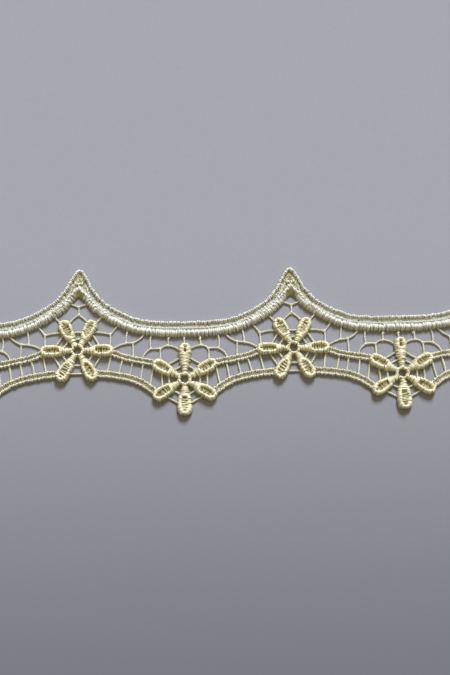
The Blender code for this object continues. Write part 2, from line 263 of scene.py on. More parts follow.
def curve(rows, step):
    """Rows about a step apart on the smooth curve through a table's rows of one or more u, v pairs."""
    given = np.array(rows, float)
    padded = np.vstack([2 * given[0] - given[1], given, 2 * given[-1] - given[-2]])
    found = []
    for p0, p1, p2, p3 in zip(padded, padded[1:], padded[2:], padded[3:]):
        spans = max(1, round(np.linalg.norm(p2[:2] - p1[:2]) / step))
        for t in np.arange(spans) / spans:
            square = (2 * p0 - 5 * p1 + 4 * p2 - p3) * t**2
            cubic = (3 * p1 - p0 - 3 * p2 + p3) * t**3
            found.append((2 * p1 + (p2 - p0) * t + square + cubic) / 2)
    return np.array(found + [given[-1]])


def carry_on(half_rows):
    """Rows of u, v pairs for half a repeat, carried on over all the repeats."""
    mirror = np.tile((-1.0, 1.0), half_rows.shape[1] // 2)
    along = np.tile((1.0, 0.0), half_rows.shape[1] // 2)
    repeat = np.vstack([half_rows[-2:0:-1] * mirror, half_rows])
    return np.vstack([repeat + along * peak for peak in PEAKS])


def spaced(line, pitch):
    """Points at an even pitch along a line, and the direction to the left at each."""
    line = np.asarray(line, float)
    steps = np.linalg.norm(np.diff(line, axis=0), axis=1)
    along = np.concatenate([[0.0], np.cumsum(steps)])
    count = max(3, round(along[-1] / pitch) + 1)
    places = np.linspace(0, along[-1], count)
    points = np.stack([np.interp(places, along, line[:, k]) for k in range(line.shape[1])], axis=1)
    run = np.gradient(points[:, :2], axis=0)
    run /= np.linalg.norm(run, axis=1)[:, None]
    return points, np.stack([-run[:, 1], run[:, 0]], axis=1)


def bowed(start, end, bow):
    """Points from start to end on a line that bulges to its left by bow."""
    start, end = np.array(start, float), np.array(end, float)
    run = end - start
    left = np.array([-run[1], run[0]]) / np.linalg.norm(run)
    share = np.linspace(0, 1, BOW_POINTS)[:, None]
    return start + run * share + left * bow * np.sin(pi * share)


def laid(points):
    """Pattern points in millimetres as they lie in the part's own frame, in metres."""
    x = points[..., 0]
    n = np.clip(np.searchsorted(LIE[:, 0], x) - 1, 0, len(LIE) - 2)
    share = np.clip((x - LIE[n, 0]) / (LIE[n + 1, 0] - LIE[n, 0]), 0.0, 1.0)
    ease = share * share * (3 - 2 * share)
    moved = np.array(points, float)
    moved[..., 0] += LIE[n, 1] * (1 - ease) + LIE[n + 1, 1] * ease
    moved[..., 1] += LIE[n, 2] * (1 - ease) + LIE[n + 1, 2] * ease - ORIGIN_V
    return moved * MM


# Meshes

def unit(vectors):
    return vectors / np.maximum(np.linalg.norm(vectors, axis=-1, keepdims=True), 1e-9)


class Stitching:
    """Closed tubes and lofts gathered into one mesh, each with a tone."""

    def __init__(self):
        self.points, self.tones, self.faces, self.count = [], [], [], 0

    def rings(self, rings, tones):
        """Closed lofts: rings (items, rings, corners, 3), anticlockwise seen from the far end."""
        items, along, corners, _ = rings.shape
        index = np.arange(items * along * corners).reshape(items, along, corners) + self.count
        turned = np.roll(index, -1, axis=2)
        quads = np.stack([index[:, :-1], turned[:, :-1], turned[:, 1:], index[:, 1:]], axis=-1)
        self.faces += [quads.reshape(-1, 4), index[:, 0, ::-1], index[:, -1]]
        self.points.append(rings.reshape(-1, 3))
        tones = np.asarray(tones, float)
        tones = np.broadcast_to(tones if tones.ndim == 2 else tones.reshape(-1, 1), (items, along))
        self.tones.append(np.repeat(tones, corners))
        self.count += items * along * corners

    def tubes(self, paths, aside, widths, thicks, tones):
        """Tubes along paths (items, points, 3), wide in the direction aside."""
        if not len(paths):
            return
        run = unit(np.gradient(paths, axis=1))
        aside = np.broadcast_to(aside, paths.shape)
        across = unit(aside - (aside * run).sum(-1, keepdims=True) * run)
        up = np.cross(run, across)
        turn = 2 * pi * (np.arange(TUBE_SIDES) + 0.5) / TUBE_SIDES
        wide = (np.broadcast_to(widths, paths.shape[:2]) / 2)[..., None, None]
        thick = (np.broadcast_to(thicks, paths.shape[:2]) / 2)[..., None, None]
        around = across[:, :, None] * np.cos(turn)[:, None] * wide
        around += up[:, :, None] * np.sin(turn)[:, None] * thick
        self.rings(paths[:, :, None] + around, tones)

    def piece(self, name, material):
        """The gathered mesh as a finished piece of the trim."""
        points = laid(np.concatenate(self.points))
        mesh = bpy.data.meshes.new(name)
        mesh.vertices.add(len(points))
        mesh.vertices.foreach_set("co", points.astype(np.float32).ravel())
        corners = np.concatenate([face.ravel() for face in self.faces])
        sizes = np.concatenate([np.full(len(face), face.shape[1]) for face in self.faces])
        mesh.loops.add(len(corners))
        mesh.loops.foreach_set("vertex_index", corners.astype(np.int32))
        mesh.polygons.add(len(sizes))
        starts = np.concatenate([[0], np.cumsum(sizes)[:-1]])
        mesh.polygons.foreach_set("loop_start", starts.astype(np.int32))
        mesh.update(calc_edges=True)
        set_tones(mesh, np.concatenate(self.tones))
        mesh.shade_smooth()
        mesh.validate()
        return dressed(name, mesh, material)


def set_tones(mesh, tones):
    """Gives each vertex its tone and painted shade, in the colour attribute that the threads' materials
    read.
    """
    tones = tones.astype(np.float32)
    layer = mesh.color_attributes.new("tone", "FLOAT_COLOR", "POINT")
    layer.data.foreach_set("color", np.stack([tones, tones, tones, np.ones_like(tones)], axis=1).ravel())


def dressed(name, mesh, material):
    """The mesh as an object in the trim's thread that rides on the trim's body."""
    piece = bpy.data.objects.new(name, mesh)
    bpy.context.scene.collection.objects.link(piece)
    mesh.materials.append(material)
    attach(piece, "root")
    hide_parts("lace_trim")
    return piece


# Stitches

def kept(points):
    """Which stitches lie far enough inside the cut ends to be whole."""
    return np.abs(points[:, 0]) < END - STITCH_GAP


def satin(stitching, edge, inward, widths, profile, wide, lift=1.0, lean=0.06, tone=0.9, rough=1.0):
    """Satin stitches over a padded column: edge points, the direction across it and its width at each.

    wide is a stitch's own width, lift scales the profile's heights, lean is how far the stitches slant
    in turn, and rough how much they stray. The first point of the profile lies on the edge.
    """
    count = len(edge)
    widths = np.broadcast_to(widths, count) * rng.normal(1, 0.03 * rough, count)
    lift = np.broadcast_to(lift, count) * rng.normal(1, 0.055 * rough, count)
    run = np.stack([inward[:, 1], -inward[:, 0]], axis=1)
    slant = (lean * np.where(np.arange(count) % 2, 1, -1) + rng.normal(0, 0.05 * rough, count))[:, None]
    start = edge - inward * rng.normal(0.0, 0.05 * rough, count)[:, None]
    start = start + run * rng.normal(0, 0.045 * rough, (count, 1))
    share = profile[:, 0, None]
    paths = np.empty((count, len(profile), 3))
    paths[..., :2] = start[:, None] + inward[:, None] * share * widths[:, None, None]
    paths[..., :2] += (run * slant)[:, None] * (2 * share - 1)
    paths[..., 2] = profile[:, 1] * lift[:, None]
    aside = np.zeros((count, 1, 3))
    aside[:, 0, :2] = run
    # The profile's tone share paints shade and a little highlight along each stitch, over a random tone
    tones = (tone + rng.normal(0, 0.15 * rough, count))[:, None] * profile[:, 2]
    wide = (wide * rng.normal(1, 0.1, count))[:, None]
    keep = kept(edge + inward * widths[:, None] / 2)
    stitching.tubes(paths[keep], aside[keep], wide[keep], SATIN_THICK, tones[keep])


def core(stitching, edge, inward, widths, profile, lift=1.0, inset=0.16):
    """The padding under a satin column, one closed loft. The profile may differ from point to point."""
    count = len(edge)
    keep = np.abs(edge[:, 0]) < END - CUT_GAP
    if keep.sum() < 2:
        return
    edge, inward = edge[keep], inward[keep]
    widths = np.broadcast_to(widths, count)[keep, None]
    lift = np.broadcast_to(lift, count)[keep, None]
    section = np.broadcast_to(profile, (count,) + profile.shape[-2:])[keep][..., :2]
    section = np.concatenate([section[:, :1], section, section[:, -1:]], axis=1)
    section[:, [0, -1], 1] = 0.0
    reach = inset + section[..., 0] * np.maximum(widths - 2 * inset, 0.02)
    lowest = 0.03 + 0.002 * np.arange(section.shape[1])
    rings = np.empty((len(edge), section.shape[1], 3))
    rings[..., :2] = edge[:, None] + inward[:, None] * reach[..., None]
    rings[..., 2] = np.maximum(section[..., 1] * lift - inset, lowest)
    # Seen from the far end the section has to run anticlockwise
    run = np.gradient(edge, axis=0)
    if np.mean(run[:, 0] * inward[:, 1] - run[:, 1] * inward[:, 0]) > 0:
        rings = rings[:, ::-1]
    # The padding is painted in shade
    stitching.rings(rings[None], PADDING_SHADE_TONE)


def strand(stitching, line, height=0.32, ply=0.25, twist=1.2, tone=0.6, apart=0.105):
    """A wrapped thread of two plies twisted round each other along a line of the pattern.

    ply is the width of one ply, twist the length of a turn, and apart half the distance of the plies.
    """
    points, left = spaced(line, 0.16)
    keep = np.abs(points[:, 0]) < END - CUT_GAP
    if keep.sum() < 3:
        return
    points, left = points[keep], left[keep]
    places = np.concatenate([[0], np.cumsum(np.linalg.norm(np.diff(points, axis=0), axis=1))])
    level = height + rng.normal(0, 0.02)
    phase = rng.uniform(0, 2 * pi)
    paths = []
    for ply_phase in (0.0, pi):
        turn = phase + ply_phase + 2 * pi * places / twist
        path = np.empty((len(points), 3))
        path[:, :2] = points + left * (apart * np.cos(turn))[:, None]
        path[:, 2] = level + apart * 0.9 * np.sin(turn)
        paths.append(path)
    aside = np.zeros((1, len(points), 3))
    aside[0, :, :2] = left
    thick = ply * (1 + 0.12 * np.sin(places * 2.3 + phase))[None]
    for path in paths:
        stitching.tubes(path[None], aside, thick, thick, tone + rng.normal(0, 0.08))


def lump(stitching, centre, size=0.75, height=0.5, tone=0.85):
    """A few short stitches wound over a join of threads."""
    turn = rng.uniform(0, pi)
    for k in range(3):
        along = np.array([cos(turn + 0.5 * k), sin(turn + 0.5 * k)])
        path = np.empty((1, 5, 3))
        path[0, :, :2] = np.array(centre) + along * (ACROSS * size / 2)[:, None]
        path[0, :, 2] = height - 0.24 * ACROSS**2 + 0.02 * k
        stitching.tubes(path, np.array([-along[1], along[0], 0.0]), 0.24, LOW_THICK, tone)


def wind(net, spot):
    """A lump over a join, unless it lies near a cut end or beyond it."""
    if abs(spot[0]) < END - JOIN_GAP:
        lump(net, spot)


# The heading

def off_peak(points):
    """How far along the trim each point lies from the nearest peak."""
    return np.min([np.abs(points[:, 0] - peak) for peak in PEAKS], axis=0)


def offset_inward(edge, left, reach):
    """How far a cord's stitches reach from the outer edge before they meet the peak's own middle line."""
    reach = np.full(len(edge), reach)
    for peak in PEAKS:
        off = peak - edge[:, 0]
        towards = np.where(np.abs(off) < 6, -left[:, 0] * np.sign(off), 0)
        limit = np.where(towards > 0.05, np.abs(off) / np.maximum(towards, 0.05), FAR)
        reach = np.minimum(reach, np.maximum(limit, 0.25))
    return reach


def mitre(edge, left):
    """How much longer the inner cord's padding is where its two sides meet at a peak."""
    fan = np.arctan2(np.abs(left[:, 0]), left[:, 1])
    return np.where(off_peak(edge) < 1.6, np.cos(np.clip(0.8 - fan, 0, 0.8)) ** -1.55, 1.0)


def inner_padding(longer):
    """The inner cord's section at each point, which turns into the apex's own where it is longer."""
    near = np.clip((longer - 1) / 0.6, 0, 1)[:, None, None]
    return CORD_INNER * (1 - near) + CORD_APEX * near


def add_heading(heading, net, flowers):
    """Both cords, the apex of each peak and what fills the hollow between the cords."""
    rows = carry_on(curve(HEADING, 0.3))
    add_outer_cord(heading, rows[:, :2])
    add_inner_cord(heading, rows[:, 2:])
    shown_peaks = [peak for peak in PEAKS if abs(peak) < END]
    for peak in shown_peaks:
        add_apex(heading, flowers, peak)
    rows, _ = spaced(rows, HOLLOW_PITCH)
    rows = rows[kept(rows)]
    add_seeds(heading, net, flowers, rows)
    add_running_thread(heading, rows)
    for peak in shown_peaks:
        add_tip_bar(heading, peak)


def add_outer_cord(heading, outer):
    edge, left = spaced(outer, OUTER_PITCH)
    reach = offset_inward(edge, left, 0.80)
    wave = 0.92 + 0.06 * np.sin(edge[:, 0] * 1.9) + 0.06 * np.sin(edge[:, 0] * 4.3 + 1)
    satin(heading, edge, -left, reach, CORD_OUTER, wide=0.41, lean=0.07, tone=wave, rough=1.1)
    edge, left = spaced(outer, PADDING_STEP)
    core(heading, edge, -left, offset_inward(edge, left, 0.78), CORD_OUTER)


def add_inner_cord(heading, inner):
    """The fat inner cord. Beside a peak its padding goes on under the fan of the apex."""
    edge, left = spaced(inner, INNER_PITCH)
    wave = 0.95 + 0.06 * np.sin(edge[:, 0] * 1.7 + 2) + 0.06 * np.sin(edge[:, 0] * 5.1)
    beside = off_peak(edge) > 0.95
    edge, left, wave = edge[beside], left[beside], wave[beside]
    satin(heading, edge, left, 1.6, CORD_INNER, wide=0.46, lean=0.07, tone=wave, rough=1.35)
    edge, left = spaced(inner, PADDING_STEP)
    longer = mitre(edge, left)
    lift = np.where(longer > 1.1, 0.72, 1.0)
    core(heading, edge, left, 1.58 * longer, inner_padding(longer), lift)


def add_apex(heading, flowers, peak):
    """The fan of stitches where the inner cord's sides meet, and a knotted thread along their crest."""
    half = np.array(APEX)
    fan = np.vstack([half[:0:-1] * (-1, 1, -1, 1), half]) + (peak, 0, peak, 0)
    reach = fan[:, 2:] - fan[:, :2]
    widths = 1.4 * np.linalg.norm(reach, axis=1)
    # The fan is in the petals' thread, so the painted shade on its flank is the petals' dark olive
    satin(flowers, fan[:, :2], unit(reach), widths, CORD_APEX, wide=0.42, lean=0.03, rough=0.7)
    ridge = np.vstack([half[:, 2:], CREST])
    ridge = curve(np.vstack([ridge[:0:-1] * (-1, 1), ridge]) + (peak, 0), 0.3)
    strand(heading, ridge, height=1.22, ply=0.28, twist=0.9, tone=0.8, apart=0.12)
    for knot in spaced(ridge, 0.95)[0]:
        spot = knot + rng.normal(0, 0.10, 2)
        height, tone = rng.uniform(1.36, 1.56), rng.uniform(0.8, 1.1)
        lump(heading, spot, size=0.85, height=height, tone=tone)


def seed_place(v):
    """The part of the hollow that a stitch lies in."""
    if v > TIP_V:
        return "tip"
    return "peak" if v > PEAK_V else "valley"


def add_seeds(heading, net, flowers, rows):
    """Low short stitches that fill the hollow between the cords, each place in a thread of its own."""
    # Each place's thread has its own colour of painted shade: the tip's seeds take the petals' dark olive
    held = {"valley": heading, "peak": net, "tip": flowers}
    paths = {place: [] for place in held}
    tones = {place: [] for place in held}
    for row in rows:
        outer, inner = row[:2], row[2:]
        full = np.linalg.norm(inner - outer)
        across = (inner - outer) / full
        along = np.array([-across[1], across[0]])
        count = max(3, round((full - 2.3) / 0.45))
        for k in range(count):
            reach = 0.72 + (full - 2.2) * (k + 0.5 + rng.uniform(-0.2, 0.2)) / count
            middle = outer + across * reach
            place = seed_place(middle[1])
            turn = rng.choice((-1, 1)) * rng.uniform(0.25, 0.75)
            way = across * cos(turn) + along * sin(turn)
            level = 0.42
            if place == "tip":
                way = np.array([rng.uniform(-0.4, 0.4), 1.0])
                level = 0.46
            path = np.empty((5, 3))
            path[:, :2] = middle + way * ACROSS[:, None] * rng.uniform(0.32, 0.5)
            path[:, 2] = level + rng.normal(0, 0.05) - 0.14 * ACROSS**2
            paths[place].append(path)
            tones[place].append(rng.choice(SEED_TONES_AND_SHADE[place], p=(0.4, 0.4, 0.2)))
    for place, stitching in held.items():
        seeds = np.array(paths[place])
        run = seeds[:, -1, :2] - seeds[:, 0, :2]
        aside = np.zeros((len(seeds), 1, 3))
        aside[:, 0, 0], aside[:, 0, 1] = -run[:, 1], run[:, 0]
        stitching.tubes(seeds, unit(aside), 0.27, LOW_THICK, np.array(tones[place]))


def add_running_thread(heading, rows):
    """A thread that runs along the hollow wherever it is narrow, beside the inner cord."""
    outer, inner = rows[:, :2], rows[:, 2:]
    full = np.linalg.norm(inner - outer, axis=1)[:, None]
    middle = outer + (inner - outer) / full * 1.66
    narrow = full[:, 0] < 4.7
    for part in np.split(np.arange(len(rows)), np.flatnonzero(np.diff(narrow)) + 1):
        if narrow[part[0]] and len(part) > 3:
            strand(heading, middle[part], height=0.54, ply=0.2, twist=1.7, tone=0.42, apart=0.09)


def add_tip_bar(heading, peak):
    """The small bar across the tip of a peak."""
    line = np.array([(peak + u, 15.75 + 0.3 * u * u) for u in np.linspace(-0.95, 0.95, 7)])
    edge, left = spaced(line, 0.4)
    satin(heading, edge, left, 0.55, HUB, wide=0.34, lift=0.76, tone=1.0)
    core(heading, edge, left, 0.55, HUB, 0.76)


# The ladder and the net

def add_rail(ladder, place, rail, half_width):
    """Two slim cords and the groove between them. place turns u, v into a point of the trim."""
    line = np.array([place(u, v) for u, v in curve(rail, 0.3)])
    points, left = spaced(line, RAIL_PITCH)
    coarse, coarse_left = spaced(line, 0.7)
    for way in (1, -1):
        edge = points + left * half_width * way
        satin(ladder, edge, -left * way, RAIL_CORD_WIDTH, RAIL_CORD, wide=0.34, lean=0.1, tone=0.95)
        edge = coarse + coarse_left * half_width * way
        core(ladder, edge, -coarse_left * way, RAIL_CORD_WIDTH, RAIL_CORD, inset=0.13)
    add_groove(ladder, points, left, half_width - 0.30)


def add_groove(ladder, points, left, reach):
    """Stitches that slant in turn across the groove between a rail's cords."""
    count = len(points)
    lean = np.where(np.arange(count) % 2, 0.2, -0.2)[:, None, None] + rng.normal(0, 0.06, (count, 1, 1))
    run = np.stack([left[:, 1], -left[:, 0]], axis=1)
    share = ACROSS[:, None]
    paths = np.empty((count, 5, 3))
    paths[..., :2] = points[:, None] + left[:, None] * share * reach + run[:, None] * lean * share
    paths[..., 2] = 0.34 + 0.10 * ACROSS**2
    aside = np.zeros((count, 1, 3))
    aside[:, 0, :2] = run
    keep = kept(points)
    # Low tones at random: painted shade in the groove between the cords
    tones = rng.normal(0.38, 0.2, keep.sum())
    ladder.tubes(paths[keep], aside[keep], 0.24, LOW_THICK, tones)


def add_half_repeat(ladder, net, place):
    add_rail(ladder, place, UPPER_RAIL, 0.72)
    add_rail(ladder, place, LOWER_RAIL, 0.80)
    for start, end, bow in THREADS:
        strand(net, [place(u, v) for u, v in bowed(JOINS[start], JOINS[end], bow)])
    for name in WOUND_JOINS:
        wind(net, place(*JOINS[name]))
    wind(net, place(21.35, HALFWAY_V))
    for top_u, top_v, low_u, low_v in RUNGS:
        line = bowed((top_u, top_v), (low_u, low_v), rng.normal(0, 0.08))
        strand(net, [place(u, v) for u, v in line], height=0.36)


def add_stems(net, peak, valley):
    """The upright threads on the lines of symmetry, and the joins wound on them."""
    for middle, (top, bottom) in ((peak, PEAK_STEM), (valley, VALLEY_STEM)):
        strand(net, bowed((middle, top), (middle, bottom), 0.0))
    for spot in ((peak, PEAK_STEM[0]), (peak, PEAK_STEM[1]), (valley, HALFWAY_V)):
        wind(net, spot)


# The flowers

def direction(angle):
    return np.array([cos(radians(angle)), sin(radians(angle))])


def directions(turns):
    return np.stack([np.cos(turns), np.sin(turns)], axis=1)


def with_next(petals):
    """Each petal's row, with the angle of the next petal round the flower."""
    angles = [row[0] for row in petals]
    return zip(petals, angles[1:] + [angles[0] + 360])


def bar_ends(centre, bar, angle, next_angle):
    """The ends of a bar from one petal to the next, bar being its middle's distance from the centre."""
    reach = bar / cos(radians(next_angle - angle) / 2)
    return [centre + reach * direction(a) for a in (angle, next_angle)]


def add_flower(flowers, net, centre, petals):
    """A ring with an open middle, its petals and the bars between them, unless a cut end is too near."""
    centre = np.array(centre, float)
    if abs(centre[0]) > END - FLOWER_GAP:
        return
    out = directions(np.linspace(0, 2 * pi, 18)[:-1] + rng.uniform(0, 1))
    edge = centre + out * HUB_RADIUS
    satin(flowers, edge, -out, HUB_WIDTH, HUB, wide=0.42, lift=HUB_LIFT, lean=0.03, tone=1.0, rough=1.1)
    out = directions(-np.linspace(0, 2 * pi, 17))
    core(flowers, centre + out * HUB_RADIUS, -out, HUB_WIDTH, HUB, HUB_LIFT, inset=0.12)
    for (angle, length, width, bars, slot, depth), next_angle in with_next(petals):
        petal = Petal(centre, angle, length, width, slot, depth)
        petal.add_neck(flowers)
        petal.add_rim(flowers)
        petal.add_middle(flowers)
        for bar in bars:
            ends = bar_ends(centre, bar, angle, next_angle)
            strand(net, bowed(*ends, rng.normal(0, 0.05)), height=0.38)


class Petal:
    """A paddle: stitches right across its neck, then a padded rim round its sunk middle.

    slot is the half width of the sunk middle, and depth the height of the stitches across it.
    """

    def __init__(self, centre, angle, length, width, slot, depth):
        self.centre, self.angle, self.length, self.slot, self.depth = centre, angle, length, slot, depth
        self.along = direction(angle)
        self.left = np.array([-self.along[1], self.along[0]])
        self.closed = slot < 0.3
        self.stretch = length / PETAL_RIM[-1][0]
        self.rim = curve([(reach * self.stretch, half * width) for reach, half in PETAL_RIM], 0.2)
        self.neck_end = (6.0 if self.closed else 3.75) * self.stretch

    def place(self, reach, aside):
        return self.centre + np.multiply.outer(reach, self.along) + np.multiply.outer(aside, self.left)

    def add_neck(self, flowers):
        """Stitches right across up to where the middle sinks, which a closed petal's does further out."""
        pitch, wide = (0.33, 0.32) if self.closed else (0.41, 0.40)
        reaches = np.arange(1.45, self.neck_end + 0.25, pitch)
        halves = np.interp(reaches, self.rim[:, 0], self.rim[:, 1])
        lift = 0.90 + 0.13 * np.minimum(reaches - 1.4, 2.6)
        edges = self.place(reaches, -halves)
        inward = np.broadcast_to(self.left, edges.shape)
        satin(flowers, edges, inward, 2 * halves, PETAL_NECK, wide, lift, lean=0.05, tone=0.97, rough=0.8)
        core(flowers, edges, inward, 2 * halves, PETAL_NECK, lift)

    def add_rim(self, flowers):
        """The padded rim, as wide as the sunk middle leaves it."""
        whole = np.vstack([self.rim * (1, -1), [(self.length + 0.02, 0.0)], self.rim[::-1]])
        points, normal = spaced(whole[whole[:, 0] > self.neck_end], PETAL_PITCH)
        share = np.clip(np.abs(points[:, 0] / self.stretch - 5.85) / 1.95, 0, 1)
        sunk = self.slot * (1 - share**3) ** 0.4
        sideways = np.clip((np.abs(normal[:, 1]) - 0.35) / 0.4, 0, 1)
        widths = np.maximum(np.abs(points[:, 1]) - sunk, 0.5) * sideways + 0.72 * (1 - sideways)
        lift = 0.92 + 0.08 * np.clip((points[:, 0] - self.neck_end) / 1.5, 0, 1)
        tone = 0.99 + 0.05 * np.sin(np.arange(len(points)) * 0.7 + self.angle)
        spots = self.place(points[:, 0], points[:, 1])
        inward = np.multiply.outer(normal[:, 0], self.along) + np.multiply.outer(normal[:, 1], self.left)
        satin(flowers, spots, inward, widths, PETAL_SIDE, 0.40, lift, lean=0.03, tone=tone, rough=0.8)
        core(flowers, spots[::2], inward[::2], widths[::2], PETAL_SIDE, lift[::2])

    def add_middle(self, flowers):
        """Stitches across the sunk middle, and the padding under them, deep down in a closed petal."""
        reaches = np.arange(self.neck_end + 0.1, self.length - 0.75, PETAL_PITCH)
        reaches += rng.normal(0, 0.04, len(reaches))
        in_turn = (-1) ** np.arange(len(reaches))
        paths = np.empty((len(reaches), 5, 3))
        for k, s in enumerate(ACROSS):
            paths[:, k, :2] = self.place(reaches + 0.08 * s * in_turn, (self.slot + 0.12) * s)
            paths[:, k, 2] = self.depth + 0.14 * s * s
        paths[..., 2] += rng.normal(0, 0.05, (len(reaches), 1))
        keep = rng.uniform(0, 1, len(reaches)) < 0.9
        if self.closed:
            keep &= np.abs(reaches - self.length + 1.9) > 0.45
        # Low tones at random: painted shade in the sunk middle
        tones = rng.normal(0.45, 0.2, keep.sum())
        flowers.tubes(paths[keep], np.append(self.along, 0.0), 0.28, 0.22, tones)
        reaches = np.linspace(self.neck_end, self.length - 0.6, 7)
        halves = np.maximum(np.interp(reaches, self.rim[:, 0], self.rim[:, 1]) - 0.4, 0.15)
        top = self.depth - (0.65 if self.closed else 0.18)
        rings = np.empty((7, 4, 3))
        for k, (s, z) in enumerate(((-1, 0.05), (1, 0.05), (1, top), (-1, top))):
            rings[:, k, :2] = self.place(reaches, halves * s)
            rings[:, k, 2] = z
        # Its padding is painted in shade
        flowers.rings(rings[None], PADDING_SHADE_TONE)


# The ground: the thin layer of first stitches that holds the whole lace together

def outline_edges(faces):
    """The edges that only one of the faces has, in that face's direction."""
    edges = {(a, b) for face in faces for a, b in zip(face, face[1:] + face[:1])}
    return sorted((a, b) for a, b in edges if (b, a) not in edges)


def quad_band(quads, points, left, right, closed=False):
    """Adds a band of quads between its left and right borders."""
    first, count = len(points), len(left)
    for pair in zip(left, right):
        points += [tuple(p) for p in pair]
    for n in range(count if closed else count - 1):
        a, b = first + 2 * n, first + 2 * ((n + 1) % count)
        quads.append([a, a + 1, b + 1, b])


def strip(quads, points, line, half_width):
    """Adds a strip of even width along a line."""
    middle, left = spaced(line, GROUND_STEP)
    quad_band(quads, points, middle + left * half_width, middle - left * half_width)


def half_repeat_strips(quads, points, peak, way):
    def place(line):
        return [(peak + way * u, v) for u, v in line]

    strip(quads, points, place(curve(UPPER_RAIL, GROUND_STEP)), 0.66)
    strip(quads, points, place(curve(LOWER_RAIL, GROUND_STEP)), 0.76)
    for start, end, bow in THREADS:
        strip(quads, points, place(bowed(JOINS[start], JOINS[end], bow)), THREAD_HALF)
    for top_u, top_v, low_u, low_v in RUNGS:
        strip(quads, points, place([(top_u, top_v), (low_u, low_v)]), THREAD_HALF)


def flower_strips(quads, points, centre, petals):
    centre = np.array(centre)
    out = directions(np.arange(16) * -pi / 8)
    quad_band(quads, points, centre + out * 1.5, centre + out * 1.0, closed=True)
    for (angle, length, width, bars, _, _), next_angle in with_next(petals):
        along = direction(angle)
        aside = np.array([-along[1], along[0]])
        stretch = (length - 0.1) / PETAL_RIM[-1][0]
        reaches, halves = np.array(PETAL_RIM).T[:, :, None]
        middle = centre + along * reaches * stretch
        side = aside * (halves * width - 0.1)
        quad_band(quads, points, middle + side, middle - side)
        for bar in bars:
            strip(quads, points, bar_ends(centre, bar, angle, next_angle), THREAD_HALF)


def ground_strips():
    """The strips of the whole pattern as quads of point numbers, and their points."""
    quads, points = [], []
    rows = carry_on(curve(HEADING, GROUND_STEP))
    across = unit(rows[:, 2:] - rows[:, :2]) * 0.12
    quad_band(quads, points, rows[:, :2] + across, rows[:, 2:] - across)
    for peak in PEAKS:
        for way in (-1, 1):
            half_repeat_strips(quads, points, peak, way)
        valley = peak + REPEAT / 2
        strip(quads, points, [(peak, v) for v in PEAK_STEM], THREAD_HALF)
        strip(quads, points, [(valley, v) for v in VALLEY_STEM], THREAD_HALF)
        flower_strips(quads, points, (peak, HIGH_FLOWER_V), HIGH_PETALS)
        flower_strips(quads, points, (valley, LOW_FLOWER_V), LOW_PETALS)
    return quads, points


def ground_piece(name, material):
    """All the strips as one flat layer, cut at both ends, with its openings left open."""
    quads, points = ground_strips()
    first = len(points)
    points += [(end, v) for end in (-END, END) for v in (-REPEAT, REPEAT)]
    cuts = [(first, first + 1), (first + 2, first + 3)]
    points, _, triangles, _, _, strips = delaunay_2d_cdt(points, cuts, quads, 0, 0.004)
    faces = [list(triangle) for triangle, covers in zip(triangles, strips)
             if covers and abs(sum(points[n].x for n in triangle)) / 3 < END]
    rim = outline_edges(faces)
    used = sorted({n for face in faces for n in face})
    order = {n: k for k, n in enumerate(used)}
    flat = np.array([points[n] for n in used])
    count = len(flat)
    levels = np.repeat((GROUND_TOP, GROUND_BOTTOM), count)
    vertices = laid(np.column_stack([np.tile(flat, (2, 1)), levels]))
    upper = [[order[n] for n in face] for face in faces]
    lower = [[n + count for n in face[::-1]] for face in upper]
    walls = [[order[b], order[a], order[a] + count, order[b] + count] for a, b in rim]
    mesh = bpy.data.meshes.new(name)
    mesh.from_pydata([tuple(v) for v in vertices], [], upper + lower + walls)
    # The top of the ground layer is painted in shade, as the padding is; its underside gets a full tone
    set_tones(mesh, np.repeat((PADDING_SHADE_TONE, 1.0), count))
    return dressed(name, mesh, material)


# Materials

def noise(tree, place, scale, detail=2.0):
    node = tree.nodes.new("ShaderNodeTexNoise")
    node.inputs["Scale"].default_value = scale
    node.inputs["Detail"].default_value = detail
    tree.links.new(place, node.inputs["Vector"])
    return node.outputs["Fac"]


def mapped(tree, value, from_range=(0.0, 1.0), to_range=(0.0, 1.0), smooth=False):
    node = tree.nodes.new("ShaderNodeMapRange")
    if smooth:
        node.interpolation_type = "SMOOTHSTEP"
    node.inputs["From Min"].default_value, node.inputs["From Max"].default_value = from_range
    node.inputs["To Min"].default_value, node.inputs["To Max"].default_value = to_range
    tree.links.new(value, node.inputs["Value"])
    return node.outputs["Result"]


def blend(tree, factor, start, end):
    """A colour that runs from start to end. start may be another node's output."""
    node = tree.nodes.new("ShaderNodeMix")
    node.data_type = "RGBA"
    if isinstance(start, tuple):
        node.inputs["A"].default_value = (*start, 1)
    else:
        tree.links.new(start, node.inputs["A"])
    node.inputs["B"].default_value = (*end, 1)
    tree.links.new(factor, node.inputs["Factor"])
    return node.outputs["Result"]


